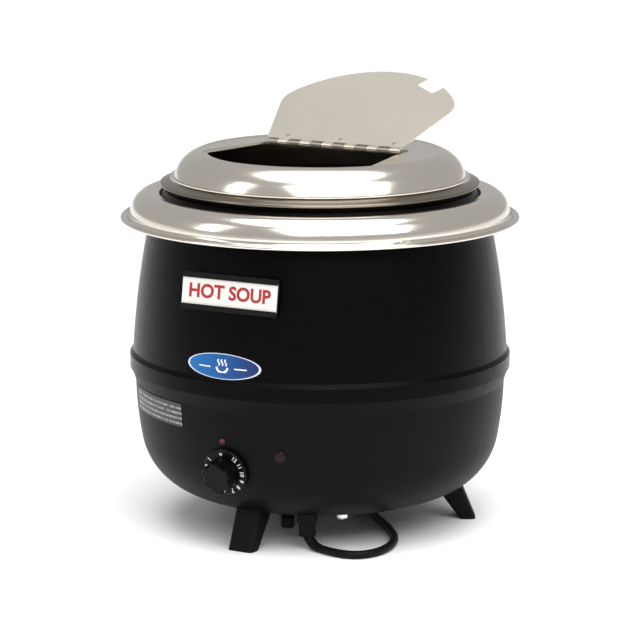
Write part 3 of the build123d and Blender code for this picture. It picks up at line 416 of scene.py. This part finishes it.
leads = Finish("glass_braid", Base_Color=(0.5, 0.4, 0.22), Roughness=0.8)
point = leads.point()
leads.bump(leads.noise(point, 1500), 0.0003)
dress(leads, "internal_leads")

# ---------------------------------------------------------------- plastic and rubber fittings
# Black mouldings: screwed feet, the square bush, switch and lamp bodies, and the card holder that
# two rivets fix. The sealant, the button's boot and the plug are softer rubber.


def moulded(name, grey, rough, grain=1200):
    """Black moulded plastic or rubber with a fine spark-eroded grain."""
    finish = Finish(name, Specular_IOR_Level=0.1)
    fine = finish.noise(finish.point(), grain, 2.0)
    finish.set("Base Color", finish.blend(fine, (grey * 0.8,) * 3, (grey * 1.2,) * 3))
    finish.set("Roughness", fine * 0.15 + rough)
    finish.bump(fine, 0.0001, 0.4)
    return finish


matt_plastic = moulded("matt_plastic", 0.0035, 0.5)
rubber = moulded("cord_rubber", 0.004, 0.42, 900)
dress(matt_plastic, "foot_front", "foot_right", "foot_left", "strain_relief", "cutout_body")
dress(matt_plastic, "thermostat_body", "terminal_block", "power_lamp_body", "pointer_lamp_body")
dress(matt_plastic, "cutout_nut")
dress(rubber, "rim_seal", "reset_button", "plug_body", "coil_tie")
dress(moulded("holder_plastic", 0.006, 0.35), "card_holder")

# ---------------------------------------------------------------- lamps
# Two neon lamps in black bezels, with moulded red lenses. The larger lens is deep-set and the
# lamp behind it is off; its colour is painted darker, with a painted shadow from the bezel that
# deepens towards its top. The small lens is painted lighter towards its top, a painted highlight.


def lens(name, low, high, level, half):
    """Clear red moulding whose colour goes from low at its bottom to high at its top: painted
    light and shade over the lens.
    """
    finish = Finish(name, Roughness=0.22, Specular_IOR_Level=0.15)
    x, y, z = finish.place()
    painted_light_ramp = (z - (level - half)) / (2 * half)
    ripple = finish.noise(finish.point(), 700, 2.0)
    finish.set("Base Color", finish.blend(painted_light_ramp, low, high))
    finish.bump(ripple, 0.0001, 0.3)
    return finish


# Bottom and top colours: the small lens painted lighter towards its top (painted highlight), the
# large one painted darker towards its top (painted shadow under the bezel).
pointer_red_painted_highlight = ((0.040, 0.007, 0.007), (0.13, 0.025, 0.025))
power_red_painted_shadow = ((0.018, 0.004, 0.005), (0.003, 0.001, 0.001))
dress(lens("lamp_red", *pointer_red_painted_highlight, level=0.100, half=0.0026), "pointer_lamp_lens")
dress(lens("power_lens_painted_shadow", *power_red_painted_shadow, level=0.0915, half=0.005), "power_lamp_lens")

# ---------------------------------------------------------------- thermostat knob
# One phenolic moulding: a fluted grip on a flat skirt. The scale of hours is printed on the
# skirt in white paint, with a ring at the off position under the small lamp.
knob_plastic = moulded("knob_plastic", 0.0025, 0.2)
dress(knob_plastic, "control_knob")
knob_tilt = radians(12)
knob_place = Vector((0, -0.155062, 0.074654))
knob_out = Vector((0, -cos(knob_tilt), -sin(knob_tilt)))
knob_up = Vector((0, -sin(knob_tilt), cos(knob_tilt)))
knob_right = Vector((1, 0, 0))
skirt_face = 0.00424        # level of the skirt's face, with the paint's thickness
scale_r = 0.0168            # radius of the figures' middles
figure_height = 0.0052
scale_figures = [           # angle in degrees from the top, clockwise, and the figure there
    (-6, "o"), (40, "12"), (64, "11"), (88, "10"), (112, "9"), (136, "8"), (160, "7"),
    (-52, "1"), (-76, "2"), (-100, "3"), (-124, "4"), (-148, "5"), (-172, "6"),
]

white_paint = Finish("scale_paint", Roughness=0.5)
point = white_paint.point()
wear = white_paint.noise(point, 600)
white_paint.set("Base Color", white_paint.blend(wear, (0.5, 0.5, 0.48), (0.8, 0.8, 0.77)))


def written(text, height, matrix, depth=0.00006, weight=0.0001):
    """Flat lettering as a thin mesh, centred and put in place."""
    curve = bpy.data.curves.new(text, "FONT")
    curve.body = text
    curve.align_x = "CENTER"
    curve.align_y = "CENTER"
    curve.size = height
    curve.extrude = depth
    curve.offset = weight
    curve.resolution_u = 4
    carrier = bpy.data.objects.new(text, curve)
    bpy.context.collection.objects.link(carrier)
    depsgraph = bpy.context.evaluated_depsgraph_get()
    mesh = bpy.data.meshes.new_from_object(carrier.evaluated_get(depsgraph))
    bpy.data.objects.remove(carrier)
    mesh.transform(matrix)
    return mesh


def joined(name, meshes):
    """One mesh out of several."""
    corners = []
    faces = []
    for mesh in meshes:
        start = len(corners)
        corners += [tuple(v.co) for v in mesh.vertices]
        faces += [tuple(start + i for i in face.vertices) for face in mesh.polygons]
    whole = bpy.data.meshes.new(name)
    whole.from_pydata(corners, [], faces)
    return whole


figures = []
for turn, text in scale_figures:
    a = radians(turn)
    outwards = knob_right * sin(a) + knob_up * cos(a)
    sideways = knob_right * cos(a) - knob_up * sin(a)
    middle = knob_place + knob_out * skirt_face + outwards * scale_r
    figures.append(written(text, figure_height, axes(sideways, outwards, knob_out, middle)))
piece_from("knob_scale", "knob", white_paint, joined("knob_scale", figures))

# ---------------------------------------------------------------- menu card
# A printed card, slid into the rails of its holder: off-white stock with plain words in red ink,
# held at its upper and lower edge.
card_stock = Finish("card_stock", Roughness=0.5)
point = card_stock.point()
pulp = card_stock.noise(point, 1400, 3.0)
blotch = card_stock.noise(point, 60, 2.0)
card_stock.set("Base Color", card_stock.blend(blotch, (0.60, 0.58, 0.55), (0.68, 0.66, 0.63)))
card_stock.bump(pulp, 0.00008, 0.4)
dress(card_stock, "menu_card")
red_ink = Finish("red_ink", Roughness=0.45)
point = red_ink.point()
ink_depth = red_ink.noise(point, 500)
red_ink.set("Base Color", red_ink.blend(ink_depth, (0.26, 0.008, 0.012), (0.36, 0.014, 0.018)))
barrel_widest = 0.1641      # the upper shell's radius where it is widest
barrel_curve = 0.77938      # the radius of its side's curve
barrel_level = 0.107        # the level where it is widest
card_turn = radians(1.5)
card_level = 0.225
card_words = "HOT SOUP"
card_height = 0.0158
card_weight = 0.0005


def barrel(z):
    """Outside radius of the upper shell at a level."""
    return barrel_widest - barrel_curve + sqrt(barrel_curve ** 2 - (z - barrel_level) ** 2)


card_tilt = asin((card_level - barrel_level) / barrel_curve)
card_reach = barrel(card_level)
card_face = 0.0019 + 0.00005    # from the shell to the card's face, with the ink's thickness
card_right = Vector((cos(card_turn), sin(card_turn), 0))
card_away = Vector((sin(card_turn), -cos(card_turn), 0))
card_out = card_away * cos(card_tilt) + Vector((0, 0, sin(card_tilt)))
card_up = card_out.cross(card_right)
card_middle = card_away * card_reach + Vector((0, 0, card_level)) + card_out * card_face
print_matrix = axes(card_right, card_up, card_out, card_middle)
card_print = written(card_words, card_height, print_matrix, weight=card_weight)
piece_from("card_print", "card", red_ink, card_print)

# ---------------------------------------------------------------- badge
# A thin enamelled oval, pressed to the curve of the barrel and bonded on: blue that deepens to
# the right, with a white edge and a plain bowl under three curls of steam.
badge_level = 0.1648
badge_half = Vector((0.0355, 0.01075))
badge_enamel = Finish("badge_enamel", Roughness=0.25, Specular_IOR_Level=0.25)
x, y, z = badge_enamel.place()
across = x / badge_half.x
up = (z - badge_level) / badge_half.y
reach = (across * across + up * up).root()
blue = badge_enamel.blend(across * 0.5 + 0.5, (0.006, 0.120, 0.36), (0.006, 0.014, 0.09))
edge_start = 0.945
edge = badge_enamel.blend(reach > edge_start, blue, (0.50, 0.54, 0.60))
badge_enamel.set("Base Color", edge)
dress(badge_enamel, "oval_badge")


def printed_strip(points, width, thick):
    """A flat strip along points of the badge's face, wrapped on the barrel."""
    corners = []
    faces = []
    for index, (px, pz) in enumerate(points):
        before = Vector(points[max(index - 1, 0)])
        after = Vector(points[min(index + 1, len(points) - 1)])
        run = (after - before).normalized()
        side = Vector((-run.y, run.x)) * width[index] / 2
        for sign in (-1, 1):
            cx = px + sign * side.x
            cz = badge_level + pz + sign * side.y
            corners.append((cx, -sqrt((barrel(cz) + thick) ** 2 - cx ** 2), cz))
    for index in range(len(points) - 1):
        a = 2 * index
        faces.append((a, a + 2, a + 3, a + 1))
    mesh = bpy.data.meshes.new("strip")
    mesh.from_pydata(corners, [], faces)
    return mesh


def portions(count):
    """The portions from 0 to 1 of a run in a number of equal steps."""
    return [i / count for i in range(count + 1)]


badge_print = 0.00046       # level of the marks, from the shell
bowl_half = 0.0062
bowl_depth = 0.0045
bowl_bottom = -0.0052
curl_height = 0.0052
curl_bottom = 0.0006
curl_sway = 0.0009
curl_width = 0.0011
rule_width = 0.0010
bowl_points = [(0.0, bowl_bottom + bowl_depth * part) for part in portions(8)]
bowl_widths = [2 * bowl_half * sqrt(1 - (1 - part) ** 2 * 0.75) for part in portions(8)]
marks = [printed_strip(bowl_points, bowl_widths, badge_print)]
for start in (-0.0034, 0.0, 0.0034):
    curl = [
        (start + curl_sway * sin(2 * pi * part), curl_bottom + curl_height * part)
        for part in portions(12)
    ]
    marks.append(printed_strip(curl, [curl_width] * len(curl), badge_print))
for side in (-1, 1):
    rule = [(side * 0.0115 * (1 + part), -0.0012) for part in portions(8)]
    marks.append(printed_strip(rule, [rule_width] * len(rule), badge_print))
badge_paint = Finish("badge_paint", Roughness=0.3)
point = badge_paint.point()
wear = badge_paint.noise(point, 400)
badge_paint.set("Base Color", badge_paint.blend(wear, (0.62, 0.64, 0.68), (0.78, 0.8, 0.83)))
piece_from("badge_marks", "kettle_body", badge_paint, joined("badge_marks", marks))

# ---------------------------------------------------------------- caution label
# A printed foil label bonded to the bowl, dark grey with four rows of paler dashes in place of
# its wording.
row_start = 0.1076
row_pitch = 0.0044
label_middle = 0.116
label_band = 0.0086         # half the height that the rows take
label_foil = Finish("label_foil", Roughness=0.42, Specular_IOR_Level=0.3)
x, y, z = label_foil.place()
turn = x.over(y)
row = ((z - row_start) * (2 * pi / row_pitch)).sine() > 0.35
grain = label_foil.join(turn * 130, z * (1 / row_pitch), 0.0)
dashes = label_foil.noise(grain, 1.0, 1.0) > 0.45
ink = ((z - label_middle).size() < label_band) * row * dashes
label_foil.set("Base Color", label_foil.blend(ink, (0.036, 0.036, 0.039), (0.27, 0.27, 0.28)))
dress(label_foil, "caution_label")

# ---------------------------------------------------------------- mains cord
# A round rubber lead. It leaves the square bush under the bowl, sweeps round on the floor and
# runs back under the kettle, where the rest is wound up, tied and ends in its moulded plug.
cord_r = 0.0035
cord_route = [
    (0.044, -0.099, 0.015), (0.049, -0.1012, 0.007), (0.057, -0.1036, cord_r),
    (0.0695, -0.1080, cord_r), (0.0832, -0.1107, cord_r), (0.0948, -0.1088, cord_r),
    (0.1035, -0.1015, cord_r), (0.1085, -0.0880, cord_r), (0.1085, -0.0715, cord_r),
    (0.1042, -0.0545, cord_r), (0.0950, -0.0370, cord_r), (0.0830, -0.0220, cord_r),
    (0.0680, -0.0060, cord_r), (0.0465, 0.0150, cord_r), (0.024, 0.0415, cord_r),
    (-0.002, 0.073, cord_r), (-0.018, 0.105, cord_r), (-0.025, 0.128, cord_r),
    (-0.0248, 0.148, cord_r),
]
coil_middle = Vector((-0.070, 0.167))
coil_inner = 0.0385
coil_outer = 0.0455
coil_low = cord_r
coil_high = 3 * cord_r
points_per_turn = 16
coil_stages = [             # angle in degrees, radius and level where each stage of it ends
    (0, coil_outer, coil_low), (285, coil_outer, coil_low), (330, coil_inner, coil_low),
    (585, coil_inner, coil_low), (640, coil_inner, coil_high), (885, coil_inner, coil_high),
    (935, coil_outer, coil_high), (1170, coil_outer, coil_high),
]
coil_points = []
for count in range(int(coil_stages[-1][0] / 360 * points_per_turn) + 1):
    angle = count * 360 / points_per_turn
    for (start, r_start, z_start), (end, r_end, z_end) in zip(coil_stages, coil_stages[1:]):
        if start <= angle <= end:
            part = (angle - start) / (end - start)
            radius = (r_start + (r_end - r_start) * part) / cos(pi / points_per_turn)
            level = z_start + (z_end - z_start) * part
    x = coil_middle.x + radius * cos(radians(angle))
    y = coil_middle.y + radius * sin(radians(angle))
    coil_points.append((x, y, level))
tail_points = [(-0.086, 0.2135, 0.0118), (-0.101, 0.213, 0.0175), (-0.110, 0.213, 0.0185)]
plug_mouth = Vector((-0.108, 0.213, 0.0185))


def cord_curve(name, points, bevel):
    """An open smooth spline that ends in its last points, with a round section."""
    curve = bpy.data.curves.new(name, "CURVE")
    curve.dimensions = "3D"
    spline = curve.splines.new("NURBS")
    spline.points.add(len(points) - 1)
    for control, place in zip(spline.points, points):
        control.co = (*place, 1)
    spline.order_u = 3
    spline.use_endpoint_u = True
    spline.resolution_u = 8
    curve.bevel_depth = bevel
    curve.bevel_resolution = 5
    curve.use_fill_caps = bevel > 0
    return curve


cord_rubber = moulded("cord_rubber_line", 0.004, 0.40, 900)
whole_line = cord_route + coil_points + tail_points
lead = bpy.data.objects.new("mains_cord", cord_curve("mains_cord", whole_line, cord_r))
bpy.context.collection.objects.link(lead)
dress(cord_rubber, lead)
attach(lead, "kettle_body")
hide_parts("power_cord", "cord_coil", "cord_tail")

# The bush's tapered sleeve follows the first bend of the lead.
guide = bpy.data.objects.new("guide", cord_curve("guide", cord_route, 0.0))
bpy.context.collection.objects.link(guide)
depsgraph = bpy.context.evaluated_depsgraph_get()
guide_mesh = bpy.data.meshes.new_from_object(guide.evaluated_get(depsgraph))
line = [v.co.copy() for v in guide_mesh.vertices]
bpy.data.objects.remove(guide)
sleeve_length = 0.022
sleeve_sides = 24
sleeve_end = 0.0003         # its thickness at the thin end
sleeve_taper = 0.0009       # how much thicker it is at the bush
rings = []
run = 0.0
for index in range(len(line) - 1):
    if index:
        run += (line[index] - line[index - 1]).length
    if run > sleeve_length:
        break
    along = (line[index + 1] - line[max(index - 1, 0)]).normalized()
    side = along.cross(Vector((0, 0, 1))).normalized()
    over = side.cross(along)
    radius = cord_r + sleeve_taper * (1 - run / sleeve_length) + sleeve_end
    turns = [2 * pi * i / sleeve_sides for i in range(sleeve_sides)]
    rings.append([line[index] + (side * cos(t) + over * sin(t)) * radius for t in turns])
corners = [tuple(c) for ring in rings for c in ring]
last_ring = range(len(corners) - sleeve_sides, len(corners))
faces = [tuple(range(sleeve_sides)), tuple(reversed(last_ring))]
for k in range(len(rings) - 1):
    for i in range(sleeve_sides):
        a = k * sleeve_sides + i
        b = k * sleeve_sides + (i + 1) % sleeve_sides
        faces.append((a, a + sleeve_sides, b + sleeve_sides, b))
sleeve_mesh = bpy.data.meshes.new("cord_sleeve")
sleeve_mesh.from_pydata(corners, [], faces)
sleeve_mesh.shade_smooth()
sleeve = piece_from("cord_sleeve", "kettle_body", matt_plastic, sleeve_mesh)

# Moulded ribs let the plug's sleeve bend without a kink.
rib_tree, given, result = node_tree("sleeve_ribs", [
    ("Count", "NodeSocketInt"), ("Pitch", "NodeSocketFloat"), ("Thickness", "NodeSocketFloat"),
    ("First Radius", "NodeSocketFloat"), ("Growth", "NodeSocketFloat"),
    ("Finish", "NodeSocketMaterial"),
])
row = step(rib_tree, "GeometryNodeMeshLine", {"Count": given.outputs["Count"]})
offset = step(rib_tree, "ShaderNodeCombineXYZ", {"Z": given.outputs["Pitch"]})
rib_tree.links.new(offset.outputs[0], row.inputs["Offset"])
hoop = step(rib_tree, "GeometryNodeCurvePrimitiveCircle", {
    "Resolution": 40, "Radius": given.outputs["First Radius"],
})
section = step(rib_tree, "GeometryNodeCurvePrimitiveCircle", {
    "Resolution": 10, "Radius": given.outputs["Thickness"],
})
rib = step(rib_tree, "GeometryNodeCurveToMesh", {
    "Curve": hoop.outputs["Curve"], "Profile Curve": section.outputs["Curve"],
})
order = step(rib_tree, "GeometryNodeInputIndex", {})
grow = step(rib_tree, "ShaderNodeMath", {
    0: order.outputs[0], 1: given.outputs["Growth"], 2: 1.0,
}, operation="MULTIPLY_ADD")
spread = step(rib_tree, "ShaderNodeCombineXYZ", {
    "X": grow.outputs[0], "Y": grow.outputs[0], "Z": 1.0,
})
copies = step(rib_tree, "GeometryNodeInstanceOnPoints", {
    "Points": row.outputs["Mesh"], "Instance": rib.outputs["Mesh"], "Scale": spread.outputs[0],
})
whole = step(rib_tree, "GeometryNodeRealizeInstances", {"Geometry": copies.outputs["Instances"]})
coated = step(rib_tree, "GeometryNodeSetMaterial", {
    "Geometry": whole.outputs["Geometry"], "Material": given.outputs["Finish"],
})
rib_tree.links.new(coated.outputs["Geometry"], result.inputs["Mesh"])
rib_values = {
    "Count": 6, "Pitch": 0.003, "Thickness": 0.0008, "First Radius": 0.0054, "Growth": 0.075,
    "Finish": rubber.material,
}
rib_matrix = axes(Vector((0, 1, 0)), Vector((0, 0, -1)), Vector((-1, 0, 0)), plug_mouth)
rib_mesh = grown("plug_ribs", rib_tree, rib_values, rib_matrix)
ribs = piece_from("plug_ribs", "kettle_body", rubber, rib_mesh)
